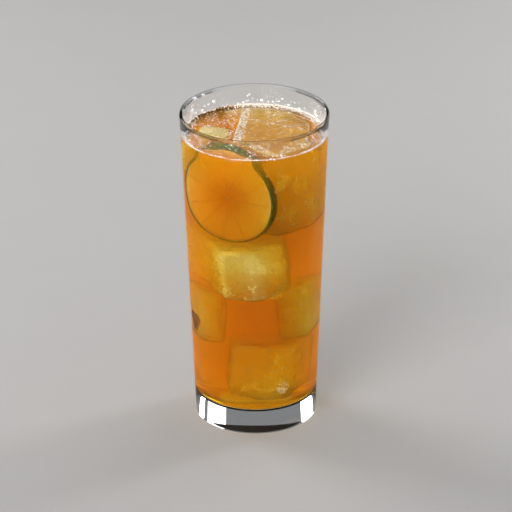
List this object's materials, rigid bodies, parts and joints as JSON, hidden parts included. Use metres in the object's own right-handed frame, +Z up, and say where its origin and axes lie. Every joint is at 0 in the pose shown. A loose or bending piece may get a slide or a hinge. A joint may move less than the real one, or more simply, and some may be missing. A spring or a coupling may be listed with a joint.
{
  "type": "hibiscus rum punch",
  "caption": "Tall tumbler of amber punch up to just under the rim, with an upright lime wheel against the wall and clear ice breaking the surface.",
  "frame": {"origin": "centre of the foot's underside, where the glass stands", "axes": "+Z up through the rim, -Y towards the side where the lime wheel shows, +X to the right of that view"},
  "size_m": [0.07, 0.07, 0.154],
  "materials": {
    "clear_glass": "clear, polished",
    "amber_punch": "cloudy amber liquid",
    "lime_slice": "wet, cut fruit",
    "clear_ice": "wet, partly frosted"
  },
  "bodies": {
    "root": {"glass": "clear_glass", "punch": "amber_punch", "lime_wheel": "lime_slice", "ice_block": "clear_ice"}
  },
  "joints": []
}
